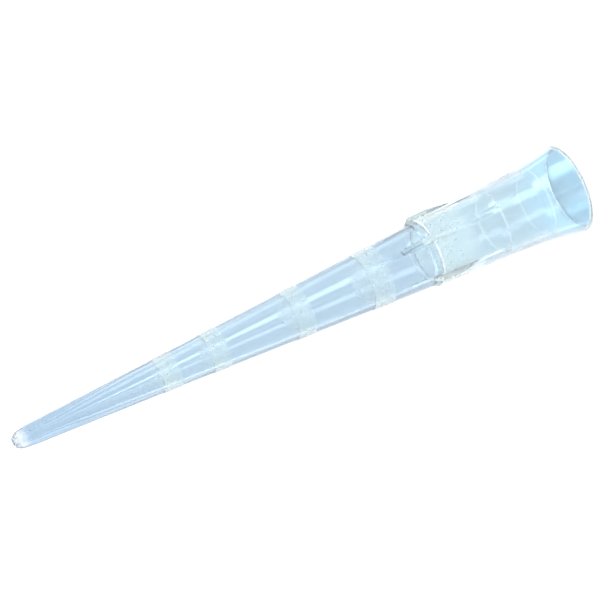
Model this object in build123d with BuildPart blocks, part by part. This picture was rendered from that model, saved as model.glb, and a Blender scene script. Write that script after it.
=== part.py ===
from build123d import *
import os

os.makedirs("parts", exist_ok=True)

# Graduated pipette tip, moulded in one piece. It stands on its mouth: the rim is at z = 0
# and the fine end points up along +Z. Sizes are in millimetres, heights are above the rim.

overall_length = 51.0

# Socket that the pipette's nozzle is pushed into
seal_radius = 2.45
seal_step_length = 0.60
entry_height = 7.25
entry_step = 0.11
entry_draft = 0.10
lead_in_height = 3.05
lead_in_step = 0.14
lead_in_step_length = 0.65
floor_above_collar = 0.60

# Collar and flared mouth round the socket
collar_height = 13.65
collar_wall = 0.39
collar_draft = 0.16
flare_height = 7.35
flare_spread = 0.76
rim_wall = 0.47
rim_round = 0.11

# Tapered body, which narrows more gently beyond the knee
collar_step = 0.15
knee_height = 36.8
knee_radius = 1.46
body_wall = 0.45

# Fine end: a blunt nose in front of a short shoulder, with a capillary inside
shoulder_length = 1.40
shoulder_radius = 0.85
nose_length = 0.38
nose_radius = 0.71
end_face_radius = 0.44
orifice_radius = 0.28
capillary_length = 3.50
capillary_radius = 0.34

# Graduation bands: height of the middle, and width
bands = ((18.85, 1.85), (25.80, 1.50), (33.30, 1.50), (37.60, 1.60))
band_relief = 0.03

# Fins at the collar's lower end, which seat the tip in its rack
fin_count = 5
fin_thickness = 0.60
fin_relief = 0.38
fin_overhang = 0.12
fin_nose_length = 0.62
fin_crest_length = 1.80
fin_tail_length = 2.20

# Sizes that follow from the ones above
entry_radius = seal_radius + entry_step
entry_mouth_radius = entry_radius + entry_draft
lead_in_radius = entry_mouth_radius + lead_in_step
collar_end_radius = seal_radius + collar_wall
collar_mouth_radius = collar_end_radius + collar_draft
rim_radius = collar_mouth_radius + flare_spread
taper_top_radius = collar_end_radius - collar_step
floor_height = collar_height + floor_above_collar
shoulder_height = overall_length - shoulder_length
nose_height = overall_length - nose_length
fin_crest_radius = collar_end_radius + fin_relief
fin_crest_top = collar_height + fin_overhang
fin_crest_foot = fin_crest_top - fin_crest_length
fin_foot = fin_crest_foot - fin_tail_length
fin_root_radius = seal_radius + collar_wall / 2


def body_radius(height):
    """Outside radius of the tapered body at a height between the collar and the shoulder."""
    if height < knee_height:
        share = (height - collar_height) / (knee_height - collar_height)
        return taper_top_radius + share * (knee_radius - taper_top_radius)
    share = (height - knee_height) / (shoulder_height - knee_height)
    return knee_radius + share * (shoulder_radius - knee_radius)


floor_bore_radius = body_radius(floor_height) - body_wall
floor_chamfer = seal_radius - floor_bore_radius

# One fin, which fades into the collar towards the mouth
with BuildPart() as fin:
    with BuildSketch(Plane.XZ):
        with BuildLine():
            Polyline(
                (fin_root_radius, fin_foot),
                (collar_end_radius, fin_foot),
                (fin_crest_radius, fin_crest_foot),
                (fin_crest_radius, fin_crest_top),
                (body_radius(fin_crest_top + fin_nose_length), fin_crest_top + fin_nose_length),
                (fin_root_radius, fin_crest_top),
                close=True,
            )
        make_face()
    extrude(amount=fin_thickness / 2, both=True)

with BuildPart() as pipette_tip:
    # Outside of the moulding: flared mouth, collar, step and two-part taper to the fine end
    with BuildSketch(Plane.XZ):
        with BuildLine():
            collar = Line((collar_end_radius, collar_height), (collar_mouth_radius, flare_height))
            flare = TangentArc(collar @ 1, (rim_radius, 0), tangent=collar % 1)
            Polyline(
                flare @ 1,
                (0, 0),
                (0, overall_length),
                (end_face_radius, overall_length),
                (nose_radius, nose_height),
                (shoulder_radius, shoulder_height),
                (knee_radius, knee_height),
                (taper_top_radius, collar_height),
                collar @ 0,
            )
        make_face()
    revolve(axis=Axis.Z)

    # Graduation bands, which stand just proud of the body
    for middle, width in bands:
        low = middle - width / 2
        high = middle + width / 2
        with BuildSketch(Plane.XZ):
            with BuildLine():
                Polyline(
                    (0, low),
                    (body_radius(low) + band_relief, low),
                    (body_radius(high) + band_relief, high),
                    (0, high),
                    close=True,
                )
            make_face()
        revolve(axis=Axis.Z)

    # Ring of fins
    with PolarLocations(0, fin_count):
        add(fin.part)

    # Inside, from the rim: lead-in, entry, sealing land, socket floor, body bore and capillary
    with BuildSketch(Plane.XZ):
        with BuildLine():
            Polyline(
                (0, 0),
                (rim_radius - rim_wall, 0),
                (lead_in_radius, lead_in_height),
                (entry_mouth_radius, lead_in_height + lead_in_step_length),
                (entry_radius, entry_height),
                (seal_radius, entry_height + seal_step_length),
                (seal_radius, floor_height - floor_chamfer),
                (floor_bore_radius, floor_height),
                (knee_radius - body_wall, knee_height),
                (capillary_radius, overall_length - capillary_length),
                (orifice_radius, overall_length),
                (0, overall_length),
                close=True,
            )
        make_face()
    revolve(axis=Axis.Z, mode=Mode.SUBTRACT)

    # Soft edges on the rim
    rim_face = pipette_tip.faces().sort_by(Axis.Z)[0]
    fillet(rim_face.edges(), radius=rim_round)

pipette_tip.part.label = "pipette_tip"
export_step(pipette_tip.part, "parts/pipette_tip.step")
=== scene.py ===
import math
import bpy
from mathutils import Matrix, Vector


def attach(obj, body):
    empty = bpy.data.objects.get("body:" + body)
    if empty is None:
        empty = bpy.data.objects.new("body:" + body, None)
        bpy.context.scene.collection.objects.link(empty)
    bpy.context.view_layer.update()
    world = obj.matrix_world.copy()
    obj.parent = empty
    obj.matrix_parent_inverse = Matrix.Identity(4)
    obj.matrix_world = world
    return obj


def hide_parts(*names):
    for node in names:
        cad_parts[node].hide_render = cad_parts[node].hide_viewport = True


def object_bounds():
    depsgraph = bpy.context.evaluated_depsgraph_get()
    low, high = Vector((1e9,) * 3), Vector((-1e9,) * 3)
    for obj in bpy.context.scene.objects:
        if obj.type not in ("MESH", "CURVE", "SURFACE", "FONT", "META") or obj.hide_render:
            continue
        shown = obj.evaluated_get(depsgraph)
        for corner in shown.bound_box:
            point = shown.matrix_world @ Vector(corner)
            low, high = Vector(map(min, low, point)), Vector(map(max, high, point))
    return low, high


bl_info = {
    "name": "Graduated Pipette Tip",
    "version": (1, 0, 0),
    "blender": (4, 5, 0),
    "location": "View3D > Sidebar > Pipette Tip",
    "description": "Makes a clear graduated pipette tip that stands on its mouth in a plain studio",
    "category": "Add Mesh",
}

import bmesh
import bpy
from bpy.props import FloatProperty, FloatVectorProperty, IntProperty, PointerProperty
from mathutils import Matrix, Vector

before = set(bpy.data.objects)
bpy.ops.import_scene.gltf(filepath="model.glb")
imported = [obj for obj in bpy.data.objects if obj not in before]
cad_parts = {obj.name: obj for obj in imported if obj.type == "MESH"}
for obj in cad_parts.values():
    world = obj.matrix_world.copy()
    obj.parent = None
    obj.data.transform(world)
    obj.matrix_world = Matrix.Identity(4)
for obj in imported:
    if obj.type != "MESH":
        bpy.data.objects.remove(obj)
CAD_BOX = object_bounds()

MM = 0.001

# Graduation bands: height of the middle above the rim, and width, in mm
BANDS = ((37.60, 1.60), (33.30, 1.50), (25.80, 1.50), (18.85, 1.85))

# Facets along the flare's arc, and along each rounded edge
FLARE_FACETS = 16
ROUNDING_FACETS = 4

# Points nearer to each other than this, in metres, are one point
SAME_PLACE = 1e-7

# Where two faces meet at a sharper angle than this, the shading keeps their edge
SHARP_ANGLE = math.radians(50)

# A face of the rim whose normal points down at least this steeply is on its end
FACES_DOWN = -0.7

# Finishes of the moulding. A face holds its finish's number in this row.
FINISHES = ("outside", "inside", "bands", "collar", "steps", "rim", "lip", "fins", "nose")

# Typical for polypropylene and for acrylic
PLASTIC_IOR = 1.49

# Heights in metres between which the tint changes: above the mouth, where the painted light of
# the mouth's lighter, bluer tint ends, at the collar's end, and along the body towards the thick
# wall of the fine end
TINT_CHANGES = ((0.001, 0.004), (0.0137, 0.0141), (0.036, 0.046))

# Heights in metres between which the painted shade along the edge comes in, and fades out
EDGE_SHADE_IN = (0.013, 0.019)
EDGE_SHADE_OUT = (0.040, 0.049)

# How strong the painted edge shade is on the flare and collar, as a share of how strong it is on the
# body
EDGE_SHADE_ON_FLARE = 0.6

# How far the outside turns from the viewer where the painted edge shade begins, and where it is full
EDGE_SHADE_TURN = (0.46, 0.56)

# Heights of a fade that is over below the rim, so that frost is full everywhere
ALL_OVER = (-MM, 0)

# Camera: sensor width in mm, shift as shares of the frame, and clipping in metres
SENSOR_WIDTH = 36
CAMERA_SHIFT = (0.003, 0.02)
CAMERA_CLIP = (0.01, 10)

# Half of the floor's side, in metres
FLOOR_HALF = 3

# Softboxes in each quarter round the tip: turn from the quarter's axis in degrees, width in mm,
# and brightness
SOFTBOXES = (("strip", 3.2, 55, 5.5), ("fill_strip", -2.9, 40, 2.3), ("broad", 27, 420, 2.8))

WHITE = (1, 1, 1, 1)


# ---------------------------------------------------------------- settings


def linear(text):
    """Linear RGB of an sRGB hex colour."""
    values = (int(text[i : i + 2], 16) / 255 for i in (1, 3, 5))
    return tuple(v / 12.92 if v <= 0.04045 else ((v + 0.055) / 1.055) ** 2.4 for v in values)


def length(name, description, millimetres):
    """A length setting, with its default given in millimetres."""
    return FloatProperty(
        name=name,
        description=description,
        default=millimetres * MM,
        min=0,
        unit="LENGTH",
        precision=5,
    )


def colour(name, description, text):
    """A colour setting, with its default given as an sRGB hex value."""
    return FloatVectorProperty(
        name=name, description=description, default=linear(text), subtype="COLOR", min=0, max=1
    )


class TipShape(bpy.types.PropertyGroup):
    """Sizes of the moulding. Heights are above the rim of the mouth."""

    overall: length("Overall length", "Rim to fine end", (CAD_BOX[1] - CAD_BOX[0]).z / MM)
    steps: IntProperty(name="Steps", description="Facets round the tip", default=480, min=60)

    seal_radius: length("Seal radius", "Land that grips the nozzle", 2.45)
    seal_start: length("Seal start", "Where the land begins", 7.85)
    entry_height: length("Entry height", "Top of the socket's entry", 7.25)
    entry_radius: length("Entry radius", "Socket's entry at its top", 2.56)
    entry_mouth: length("Entry mouth", "Socket's entry at its mouth end", 2.66)
    lead_in_top: length("Lead-in top", "Height where the entry begins", 3.70)
    lead_in_height: length("Lead-in height", "Top of the flared lead-in", 3.05)
    lead_in_radius: length("Lead-in radius", "Flared lead-in at its top", 2.80)
    floor_start: length("Floor start", "Where the socket narrows to its floor", 14.008)
    floor_height: length("Floor height", "Floor of the socket", 14.25)
    floor_bore: length("Floor bore", "Radius of the bore at the socket's floor", 2.208)

    rim_radius: length("Rim radius", "Outside of the mouth", 3.755)
    rim_wall: length("Rim wall", "Wall at the mouth", 0.47)
    rim_round: length("Rim rounding", "Rounding of the rim's two edges", 0.11)
    flare_height: length("Flare height", "Where the flare leaves the collar", 7.35)
    collar_mouth: length("Collar mouth", "Collar's radius where the flare begins", 3.00)
    collar_height: length("Collar height", "Lower end of the collar", 13.65)
    collar_end: length("Collar end", "Collar's radius at its lower end", 2.84)
    lip: length("Lip", "Matt lip at the collar's end", 0.15)
    body_top: length("Body top", "Body's radius where it meets the collar", 2.69)

    knee_height: length("Knee height", "Where the taper changes", 36.80)
    knee_radius: length("Knee radius", "Body's radius at the knee", 1.46)
    knee_bore: length("Knee bore", "Radius of the bore at the knee", 1.01)
    shoulder_height: length("Shoulder height", "Where the taper ends", 49.60)
    shoulder_radius: length("Shoulder radius", "Body's radius at the shoulder", 0.85)
    nose_height: length("Nose height", "Foot of the blunt nose", 50.62)
    nose_radius: length("Nose radius", "Radius at the nose's foot", 0.71)
    end_radius: length("End radius", "Flat face round the orifice", 0.44)
    orifice_radius: length("Orifice radius", "Hole in the fine end", 0.28)
    capillary_height: length("Capillary height", "Where the bore turns narrow", 47.50)
    capillary_radius: length("Capillary radius", "Bore where it turns narrow", 0.34)

    band_relief: length("Band relief", "How far the bands stand proud", 0.03)
    edge_round: length("Edge rounding", "Rounding of the small edges", 0.03)

    fins: IntProperty(name="Fins", description="Fins round the collar's end", default=5, min=1)
    fin_steps: IntProperty(name="Fin steps", description="Facets across a fin", default=16, min=2)
    fin_crest: length("Fin crest", "Radius of a fin's crest", 3.22)
    fin_fall: FloatProperty(
        name="Fin fall",
        description="How far a fin falls to its sides, as a share of how far it stands proud",
        default=0.85,
        min=0,
        max=1,
    )
    fin_nose: length("Fin nose", "Where a fin meets the body", 14.39)
    fin_crest_top: length("Fin crest top", "Top of a fin's crest", 13.77)
    fin_crest_foot: length("Fin crest foot", "Foot of a fin's crest", 11.97)
    fin_foot: length("Fin foot", "Where a fin fades into the collar", 9.77)


class TipFinish(bpy.types.PropertyGroup):
    """Colours of the polypropylene, with painted light at the mouth and painted shade along the
    edges.
    """

    socket: colour("Socket", "Tint of both faces of the socket's wall", "#CDDDE5")
    # Painted light: lighter and bluer than the socket, it lifts the shade seen through the mouth
    mouth: colour("Mouth", "Tint of both faces at the mouth, a deeper blue", "#D4F0FF")
    clear: colour("Clear", "Tint of the body's outside", "#AAC0CF")
    bore: colour("Bore", "Tint that the body's bore adds", "#EDF3F9")
    thick: colour("Thick", "Tint of the outside at the fine end, where the wall is thick", "#93ADC3")
    # Painted shade along the outside's edges, partly the deeper cast of the long path through the
    # wall
    edge: colour("Edge", "Tint of the wall where it turns away", "#647A8E")
    bands: colour("Bands", "Tint of the frosted bands", "#BFD1D4")
    collar: colour("Collar", "Tint of the collar's frosted end", "#DEEAEB")
    pale: colour("Pale", "Tint of the matt steps, and of the bore in the thick wall", "#FFFFFF")


class TipStudio(bpy.types.PropertyGroup):
    """Camera, plain floor and softboxes."""

    distance: length("Camera distance", "From the camera to the tip's middle", 300)
    lens: FloatProperty(name="Lens", description="Focal length in mm", default=228.4, min=1)
    elevation: FloatProperty(
        name="Elevation",
        description="Camera's angle above the horizon",
        default=math.radians(20),
        subtype="ANGLE",
    )
    roll: FloatProperty(
        name="Roll",
        description="Camera's turn about its line of sight",
        default=math.radians(-114.64),
        subtype="ANGLE",
    )
    floor: colour("Floor", "Colour of the floor", "#FAFAFA")
    room: FloatProperty(
        name="Room light", description="Brightness of the white room", default=1.3, min=0
    )
    boxes_away: length("Softbox distance", "From the tip to the softboxes", 1200)
    boxes_height: length("Softbox height", "Height of the softboxes' middle", 440)
    boxes_tall: length("Softbox size", "How tall the softboxes are", 650)


# ---------------------------------------------------------------- materials


def node(tree, kind, settings=(), **links):
    """Adds a node. Settings name its properties, links its inputs: a socket or a value.

    An input is given by its name, with _ for a space, or by _ and its number where the node
    has several inputs of one name.
    """
    made = tree.nodes.new(kind)
    for name, value in dict(settings).items():
        setattr(made, name, value)
    for name, value in links.items():
        key = int(name[1:]) if name[0] == "_" and name[1:].isdigit() else name.replace("_", " ")
        socket = made.inputs[key]
        if isinstance(value, bpy.types.NodeSocket):
            tree.links.new(value, socket)
        else:
            socket.default_value = value
    return made


def new_material(name):
    """An empty node material, and its tree."""
    material = bpy.data.materials.new(name)
    material.use_nodes = True
    material.node_tree.nodes.clear()
    return material, material.node_tree


def polished_polypropylene(finish, outside):
    """Clear random-copolymer polypropylene from a polished mould, for the outside or the inside.

    It is a little hazier than glass and takes a pale blue cast through its two walls. Flow from
    the gate leaves long, very shallow waves along the tip. The cast is deeper in the thick wall
    of the fine end. At the mouth the tint is lighter and bluer: painted light that lifts the shade
    seen through the mouth. Where the outside turns from the viewer, the tint darkens to a thin
    dark line along the edge: partly the deeper cast of light running far through the wall, partly
    painted shade.
    """
    material, tree = new_material("polypropylene_polished_" + ("outside" if outside else "inside"))
    place = node(tree, "ShaderNodeTexCoord").outputs["Object"]
    height = node(tree, "ShaderNodeSeparateXYZ", Vector=place).outputs["Z"]
    body, fine_end = (finish.clear, finish.thick) if outside else (finish.bore, finish.pale)
    # Starts from the mouth's lighter, bluer tint, painted light that lifts the shade seen through
    # the mouth
    tint = (*finish.mouth, 1)
    for (start, end), next_tint in zip(TINT_CHANGES, (finish.socket, body, fine_end)):
        up = node(tree, "ShaderNodeMapRange", Value=height, From_Min=start, From_Max=end)
        tint = node(
            tree,
            "ShaderNodeMix",
            {"data_type": "RGBA"},
            Factor=up.outputs[0],
            _6=tint,
            _7=(*next_tint, 1),
        ).outputs[2]
    # Flow waves about 1 mm across and 12 mm long
    along = node(tree, "ShaderNodeMapping", Vector=place, Scale=(1000, 1000, 80))
    flow = node(tree, "ShaderNodeTexNoise", Vector=along.outputs[0], Scale=1.0, Detail=2.0)
    wave = node(tree, "ShaderNodeBump", Height=flow.outputs[0], Strength=0.3, Distance=0.00001)
    haze = node(tree, "ShaderNodeMapRange", Value=flow.outputs[0], To_Min=0.02, To_Max=0.06)
    shader = node(
        tree,
        "ShaderNodeBsdfPrincipled",
        Base_Color=tint,
        IOR=PLASTIC_IOR,
        Transmission_Weight=0.96,
        Roughness=haze.outputs[0],
        Normal=wave.outputs[0],
    )
    if outside:
        # Painted shade: the tint darkens to the edge colour where the outside turns from the viewer
        facing = node(tree, "ShaderNodeLayerWeight", Blend=0.5).outputs["Facing"]
        comes_in = node(
            tree,
            "ShaderNodeMapRange",
            Value=height,
            From_Min=EDGE_SHADE_IN[0],
            From_Max=EDGE_SHADE_IN[1],
            To_Min=EDGE_SHADE_ON_FLARE,
            To_Max=1,
        )
        fades_out = node(
            tree,
            "ShaderNodeMapRange",
            Value=height,
            From_Min=EDGE_SHADE_OUT[0],
            From_Max=EDGE_SHADE_OUT[1],
            To_Min=1,
            To_Max=0,
        )
        edge_shade_strength = node(
            tree,
            "ShaderNodeMath",
            {"operation": "MULTIPLY"},
            _0=comes_in.outputs[0],
            _1=fades_out.outputs[0],
        )
        turned = node(
            tree,
            "ShaderNodeMapRange",
            Value=facing,
            From_Min=EDGE_SHADE_TURN[0],
            From_Max=EDGE_SHADE_TURN[1],
            To_Min=0,
            To_Max=edge_shade_strength.outputs[0],
        )
        painted_edge_shade = node(
            tree,
            "ShaderNodeMix",
            {"data_type": "RGBA"},
            Factor=turned.outputs[0],
            _6=tint,
            _7=(*finish.edge, 1),
        )
        tree.links.new(painted_edge_shade.outputs[2], shader.inputs["Base Color"])
    node(tree, "ShaderNodeOutputMaterial", Surface=shader.outputs[0])
    return material


def frosted_polypropylene(name, clear, frosted, haze, fade):
    """The same polypropylene from spark-eroded parts of the mould.

    The eroded steel prints a fine, slightly uneven grit that scatters light, so the surface
    looks frosted. The tint goes from clear to frosted as the frost comes in between the fade's
    two heights, and haze is the share of the light that full frost doesn't let through.
    """
    material, tree = new_material("polypropylene_frosted_" + name)
    place = node(tree, "ShaderNodeTexCoord").outputs["Object"]
    height = node(tree, "ShaderNodeSeparateXYZ", Vector=place).outputs["Z"]
    frost = node(
        tree,
        "ShaderNodeMapRange",
        {"interpolation_type": "SMOOTHSTEP"},
        Value=height,
        From_Min=fade[0],
        From_Max=fade[1],
    ).outputs[0]
    # Grit pits are about 0.03 mm; drawn at about 0.3 mm so that they show
    grit = node(tree, "ShaderNodeTexNoise", Vector=place, Scale=3500.0, Detail=1.0)
    pits = node(
        tree, "ShaderNodeBump", Height=grit.outputs[0], Strength=frost, Distance=0.0000015
    )
    # Uneven erosion, in patches about 0.5 mm across
    patches = node(tree, "ShaderNodeTexNoise", Vector=place, Scale=2000.0, Detail=2.0)
    worn = node(
        tree,
        "ShaderNodeMapRange",
        Value=patches.outputs[0],
        From_Min=0.35,
        From_Max=0.65,
        To_Min=0.7,
    )
    share = node(
        tree, "ShaderNodeMath", {"operation": "MULTIPLY"}, _0=frost, _1=worn.outputs[0]
    ).outputs[0]
    rough = node(tree, "ShaderNodeMapRange", Value=share, To_Min=0.04, To_Max=0.28)
    through = node(tree, "ShaderNodeMapRange", Value=share, To_Min=0.94, To_Max=1 - haze)
    tint = node(
        tree,
        "ShaderNodeMix",
        {"data_type": "RGBA"},
        Factor=share,
        _6=(*clear, 1),
        _7=(*frosted, 1),
    )
    shader = node(
        tree,
        "ShaderNodeBsdfPrincipled",
        Base_Color=tint.outputs[2],
        IOR=PLASTIC_IOR,
        Transmission_Weight=through.outputs[0],
        Roughness=rough.outputs[0],
        Normal=pits.outputs[0],
    )
    node(tree, "ShaderNodeOutputMaterial", Surface=shader.outputs[0])
    return material


def moulding_materials(shape, finish):
    """The moulding's materials, in the order of FINISHES."""
    made = {
        "outside": polished_polypropylene(finish, True),
        "inside": polished_polypropylene(finish, False),
    }
    collar_fade = (shape.fin_foot, shape.fin_foot + 1.2 * MM)
    rim_fade = (shape.rim_wall, shape.rim_round)
    nose_fade = (shape.shoulder_height, shape.nose_height)
    for name, clear, frosted, haze, fade in (
        ("bands", finish.clear, finish.bands, 0.1, ALL_OVER),
        ("collar", finish.socket, finish.collar, 0.12, collar_fade),
        ("steps", finish.socket, finish.pale, 0.08, ALL_OVER),
        # The rim's clear part takes the mouth's lighter, bluer tint, painted light
        ("rim", finish.mouth, finish.pale, 0.3, rim_fade),
        ("lip", finish.socket, finish.pale, 0.4, ALL_OVER),
        ("fins", finish.socket, finish.collar, 0.2, collar_fade),
        ("nose", finish.thick, finish.bore, 0.2, nose_fade),
    ):
        made[name] = frosted_polypropylene(name, clear, frosted, haze, fade)
    return [made[name] for name in FINISHES]


# ---------------------------------------------------------------- moulding


def between(low, high, height):
    """Radius at a height on the line between two (radius, height) points."""
    share = (height - low[1]) / (high[1] - low[1])
    return low[0] + share * (high[0] - low[0])


def outside_corners(shape):
    """(radius, height, rounding) down the outside, from the fine end to the flare's start."""
    shoulder = (shape.shoulder_radius, shape.shoulder_height)
    knee = (shape.knee_radius, shape.knee_height)
    top = (shape.body_top, shape.collar_height)
    end, mouth = (shape.collar_end, shape.collar_height), (shape.collar_mouth, shape.flare_height)
    fine = shape.edge_round
    corners = [
        (shape.end_radius, shape.overall, fine),
        (shape.nose_radius, shape.nose_height, 2 * fine),
        (*shoulder, 3 * fine),
    ]
    for middle, width in BANDS:
        high, low = (middle + width / 2) * MM, (middle - width / 2) * MM
        line = (shoulder, knee) if middle * MM > shape.knee_height else (knee, top)
        proud, flank = shape.band_relief, shape.band_relief / 3
        corners += [
            (between(*line, high), high, 0),
            (between(*line, high - flank) + proud, high - flank, 0),
            (between(*line, low + flank) + proud, low + flank, 0),
            (between(*line, low), low, 0),
        ]
    corners += [
        (between(knee, top, shape.fin_nose), shape.fin_nose, 0),
        (*top, 0),
        (*end, 1.5 * fine),
    ]
    for height in (shape.collar_height - shape.lip, shape.fin_crest_foot, shape.fin_foot):
        corners.append((between(end, mouth, height), height, 0))
    return corners


def inside_corners(shape):
    """(radius, height, rounding) up the inside, from the mouth to the orifice."""
    fine = shape.edge_round
    return [
        (shape.rim_radius - shape.rim_wall, 0, shape.rim_round),
        (shape.lead_in_radius, shape.lead_in_height, 3 * fine),
        (shape.entry_mouth, shape.lead_in_top, fine),
        (shape.entry_radius, shape.entry_height, 3 * fine),
        (shape.seal_radius, shape.seal_start, fine),
        (shape.seal_radius, shape.floor_start, fine),
        (shape.floor_bore, shape.floor_height, 2 * fine),
        (shape.knee_bore, shape.knee_height, 0),
        (shape.capillary_radius, shape.capillary_height, 0),
        (shape.orifice_radius, shape.overall, fine),
    ]


def draw_line(bm, corners):
    """Joins corners in the XZ plane by edges and returns their vertices and roundings."""
    drawn = []
    for radius, height, rounding in corners:
        vertex = bm.verts.new((radius, 0, height))
        if drawn:
            bm.edges.new((drawn[-1][0], vertex))
        drawn.append((vertex, rounding))
    return drawn


def sweep_flare(bm, start, shape):
    """Sweeps the flare's arc, which leaves the collar in line with it, and returns its end."""
    along = start.co - Vector((shape.collar_end, 0, shape.collar_height))
    side = Vector((-along.z, 0, along.x)).normalized()
    chord = Vector((shape.rim_radius, 0, 0)) - start.co
    radius = chord.length_squared / (2 * chord.dot(side))
    centre = start.co + side * radius
    turn = 2 * math.asin(chord.length / (2 * abs(radius)))
    swept = bmesh.ops.spin(
        bm,
        geom=[start],
        cent=centre,
        axis=(0, -1, 0),
        angle=turn,
        steps=FLARE_FACETS,
        use_merge=False,
    )
    return next(part for part in swept["geom_last"] if isinstance(part, bmesh.types.BMVert))


def round_corners(bm, drawn):
    """Rounds the drawn corners that ask for it."""
    for rounding in sorted({r for _, r in drawn if r}):
        bmesh.ops.bevel(
            bm,
            geom=[vertex for vertex, r in drawn if r == rounding],
            offset=rounding,
            segments=ROUNDING_FACETS,
            profile=0.5,
            material=-1,
            affect="VERTICES",
        )


def raise_fin(bm, shape, azimuth):
    """Extrudes one fin from the faces of the collar's end under it.

    The fin's crest runs on past the collar's end, and then slopes down to the body. Across, it
    falls to both sides as a parabola does.
    """
    out = Vector((math.cos(azimuth), math.sin(azimuth), 0))
    across = Vector((-out.y, out.x, 0))
    reach = (shape.fin_steps + 1) * math.pi / shape.steps
    # A radius inside the wall, which tells its outer faces from its inner ones
    in_wall = 0.5 * (shape.seal_radius + shape.body_top)
    end, mouth = (shape.collar_end, shape.collar_height), (shape.collar_mouth, shape.flare_height)

    def covered(face):
        middle = face.calc_center_median()
        flat = Vector((middle.x, middle.y, 0))
        return (
            shape.fin_foot < middle.z < shape.fin_nose
            and flat.length > in_wall
            and flat.angle(out) < reach
        )

    faces = [face for face in bm.faces if covered(face)]
    edges = list(dict.fromkeys(edge for face in faces for edge in face.edges))
    made = bmesh.ops.extrude_face_region(bm, geom=faces + edges)["geom"]
    for vertex in (part for part in made if isinstance(part, bmesh.types.BMVert)):
        place = vertex.co
        if min(abs(place.z - shape.fin_nose), abs(place.z - shape.fin_foot)) < SAME_PLACE:
            continue
        height = place.z
        if height > shape.collar_height - 2 * shape.edge_round:
            step = (shape.collar_end - place.xy.length) / (shape.collar_end - shape.body_top)
            height += step * (shape.fin_crest_top - height)
        side = abs(place.dot(across)) / (shape.collar_end * math.sin(reach))
        foot = between(end, mouth, height)
        crest = shape.fin_crest - shape.fin_fall * (shape.fin_crest - foot) * side**2
        vertex.co = out * crest + across * place.dot(across) + Vector((0, 0, height))


def settle_order(bm):
    """Lists edges and faces by their vertices, because spin lists them differently in each run."""
    bm.verts.index_update()
    count = len(bm.verts)

    def rank(part):
        numbers = sorted(vertex.index for vertex in part.verts)
        return (numbers[0] * count + numbers[1]) * count + numbers[-1]

    bm.edges.sort(key=rank)
    bm.faces.sort(key=rank)


def build_moulding(shape):
    """The whole moulding as one closed wall."""
    bm = bmesh.new()
    outside = draw_line(bm, outside_corners(shape))
    flare = bm.verts.new((shape.collar_mouth, 0, shape.flare_height))
    bm.edges.new((outside[-1][0], flare))
    rim = sweep_flare(bm, flare, shape)
    inside = draw_line(bm, inside_corners(shape))
    bm.edges.new((rim, inside[0][0]))
    bm.edges.new((inside[-1][0], outside[0][0]))
    round_corners(bm, [*outside, (rim, shape.rim_round), *inside])
    bmesh.ops.spin(
        bm,
        geom=bm.verts[:] + bm.edges[:],
        cent=(0, 0, 0),
        axis=(0, 0, 1),
        angle=math.tau,
        steps=shape.steps,
        use_merge=True,
    )
    bmesh.ops.remove_doubles(bm, verts=bm.verts, dist=SAME_PLACE)
    settle_order(bm)
    for number in range(shape.fins):
        raise_fin(bm, shape, math.tau * number / shape.fins)
    bmesh.ops.remove_doubles(bm, verts=bm.verts, dist=SAME_PLACE)
    bmesh.ops.recalc_face_normals(bm, faces=bm.faces)
    settle_order(bm)
    return bm


def radius_at(corners, height):
    """Radius of a line of (radius, height, rounding) corners at a height."""
    for one, other in zip(corners, corners[1:]):
        if min(one[1], other[1]) <= height <= max(one[1], other[1]) and one[1] != other[1]:
            return between(one, other, height)
    return corners[-1][0]


def finish_of(face, shape, outside, inside):
    """Name of a face's finish, from where the face lies on the moulding."""
    middle = face.calc_center_median()
    radius, height = middle.xy.length, middle.z
    fine = shape.edge_round
    if radius < radius_at(inside, height) + fine:
        # How far the matt rings reach from a step's edge, and from the socket's floor
        ring, floor_ring = 3 * fine, 5 * fine
        edges = (shape.lead_in_height, shape.entry_height)
        on_step = min(abs(height - edge) for edge in edges) < ring
        on_floor = abs(height - shape.floor_height) < floor_ring
        return "steps" if on_step or on_floor else "inside"
    if height < shape.rim_wall:
        return "inside" if face.normal.z < FACES_DOWN else "rim"
    if shape.fin_foot < height < shape.fin_nose:
        # Only a fin stands proud of the drawn outline
        if radius > radius_at(outside, height) + fine / 8:
            return "fins"
        if abs(height - shape.collar_height) < shape.lip:
            return "lip" if radius > shape.body_top else "outside"
        return "collar" if height < shape.collar_height else "outside"
    for band, width in BANDS:
        if abs(height / MM - band) < width / 2 + shape.band_relief / MM:
            return "bands"
    return "nose" if height > shape.shoulder_height else "outside"


def to_object(bm, name, materials):
    """Turns the mesh into an object at the origin."""
    for edge in bm.edges:
        edge.smooth = edge.calc_face_angle(0) < SHARP_ANGLE
    for face in bm.faces:
        face.smooth = True
    mesh = bpy.data.meshes.new(name)
    bm.to_mesh(mesh)
    bm.free()
    for material in materials:
        mesh.materials.append(material)
    made = bpy.data.objects.new(name, mesh)
    bpy.context.collection.objects.link(made)
    return made


class TIP_OT_moulding(bpy.types.Operator):
    """Make the one-piece pipette tip"""

    bl_idname = "pipette_tip.moulding"
    bl_label = "Moulding"

    def execute(self, context):
        shape, finish = context.scene.tip_shape, context.scene.tip_finish
        bm = build_moulding(shape)
        open_edges = [edge for edge in bm.edges if len(edge.link_faces) != 2]
        if open_edges:
            raise RuntimeError(f"the moulding's wall isn't closed: {len(open_edges)} edges")
        outside, inside = outside_corners(shape), inside_corners(shape)
        for face in bm.faces:
            face.material_index = FINISHES.index(finish_of(face, shape, outside, inside))
        tip = to_object(bm, "graduated_tip", moulding_materials(shape, finish))
        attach(tip, "root")
        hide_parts("pipette_tip")
        return {"FINISHED"}


# ---------------------------------------------------------------- studio


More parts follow.
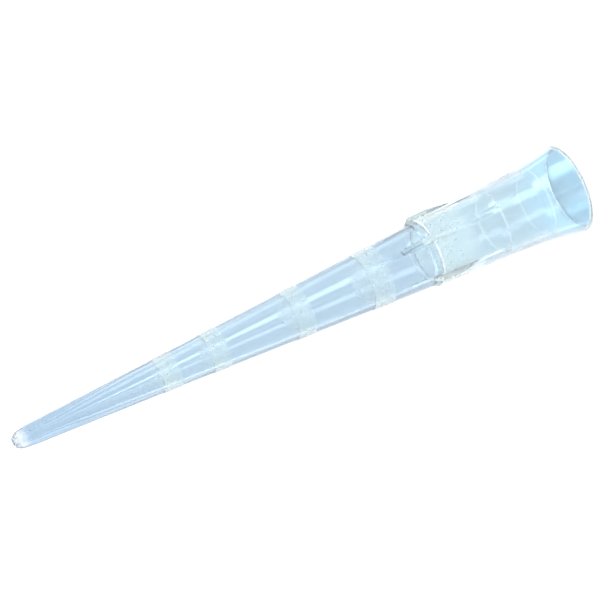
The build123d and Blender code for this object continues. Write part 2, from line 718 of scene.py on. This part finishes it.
def camera_at(studio, middle):
    """A camera that looks at the middle of the tip, rolled about its line of sight."""
    lens = bpy.data.cameras.new("camera")
    lens.lens = studio.lens
    lens.sensor_width = SENSOR_WIDTH
    lens.shift_x, lens.shift_y = CAMERA_SHIFT
    lens.clip_start, lens.clip_end = CAMERA_CLIP
    made = bpy.data.objects.new("camera", lens)
    aim = Matrix.Rotation(math.radians(90) - studio.elevation, 4, "X")
    turn = Matrix.Rotation(studio.roll, 4, "Z")
    made.matrix_world = Matrix.Translation(middle) @ aim @ turn @ Matrix.Translation(
        (0, 0, studio.distance)
    )
    bpy.context.collection.objects.link(made)
    return made


def soft_light(name, place, target, width, height, brightness):
    """Adds a white rectangular softbox that faces its target. Its brightness is its radiance."""
    lamp = bpy.data.lights.new(name, "AREA")
    lamp.shape = "RECTANGLE"
    lamp.size, lamp.size_y = width, height
    lamp.energy = brightness * math.pi * width * height
    made = bpy.data.objects.new(name, lamp)
    made.location = place
    made.rotation_euler = (Vector(target) - Vector(place)).to_track_quat("-Z", "Y").to_euler()
    bpy.context.collection.objects.link(made)


def white_acrylic(studio):
    """A plain sheet of white acrylic, polished, with a trace of ripple from its casting."""
    material, tree = new_material("acrylic_cast_white")
    place = node(tree, "ShaderNodeTexCoord").outputs["Object"]
    # Ripples about 20 mm across
    ripple = node(tree, "ShaderNodeTexNoise", Vector=place, Scale=50.0, Detail=1.0)
    cast = node(tree, "ShaderNodeBump", Height=ripple.outputs[0], Strength=0.1, Distance=0.00002)
    shader = node(
        tree,
        "ShaderNodeBsdfPrincipled",
        Base_Color=(*studio.floor, 1),
        IOR=PLASTIC_IOR,
        Roughness=0.08,
        Normal=cast.outputs[0],
    )
    node(tree, "ShaderNodeOutputMaterial", Surface=shader.outputs[0])
    return material


class TIP_OT_stage(bpy.types.Operator):
    """Make the floor, the lights and the camera"""

    bl_idname = "pipette_tip.stage"
    bl_label = "Stage"

    def execute(self, context):
        scene, studio = context.scene, context.scene.tip_studio
        low, high = CAD_BOX
        middle = (low + high) / 2
        scene.camera = camera_at(studio, middle)

        bm = bmesh.new()
        bmesh.ops.create_grid(bm, x_segments=1, y_segments=1, size=FLOOR_HALF)
        floor = to_object(bm, "floor", [white_acrylic(studio)])

        world = bpy.data.worlds.new("studio")
        world.use_nodes = True
        background = world.node_tree.nodes["Background"]
        background.inputs["Color"].default_value = WHITE
        background.inputs["Strength"].default_value = studio.room
        scene.world = world
        scene.view_settings.view_transform = "Standard"
        # Light turns many times inside clear plastic before it comes out
        scene.cycles.max_bounces = 48
        scene.cycles.glossy_bounces = 32
        scene.cycles.transmission_bounces = 48

        for quarter in range(4):
            for name, turn, width, brightness in SOFTBOXES:
                angle = math.radians(turn + 90 * quarter)
                place = (
                    studio.boxes_away * math.sin(angle),
                    studio.boxes_away * math.cos(angle),
                    studio.boxes_height,
                )
                size = (width * MM, studio.boxes_tall)
                soft_light(f"{name}_{quarter}", place, middle, *size, brightness)
        return {"FINISHED"}


class TIP_PT_panel(bpy.types.Panel):
    """Lists what the add-on makes"""

    bl_idname = "TIP_PT_panel"
    bl_label = "Pipette Tip"
    bl_space_type = "VIEW_3D"
    bl_region_type = "UI"
    bl_category = "Pipette Tip"

    def draw(self, context):
        for operator in (TIP_OT_moulding, TIP_OT_stage):
            self.layout.operator(operator.bl_idname)


CLASSES = (TipShape, TipFinish, TipStudio, TIP_OT_moulding, TIP_OT_stage, TIP_PT_panel)
SETTINGS = {"tip_shape": TipShape, "tip_finish": TipFinish, "tip_studio": TipStudio}


def register():
    for made in CLASSES:
        bpy.utils.register_class(made)
    for name, group in SETTINGS.items():
        setattr(bpy.types.Scene, name, PointerProperty(type=group))


def unregister():
    for name in SETTINGS:
        delattr(bpy.types.Scene, name)
    for made in reversed(CLASSES):
        bpy.utils.unregister_class(made)


def main():
    register()
    bpy.ops.pipette_tip.moulding()
    bpy.ops.pipette_tip.stage()


if __name__ == "__main__":
    main()
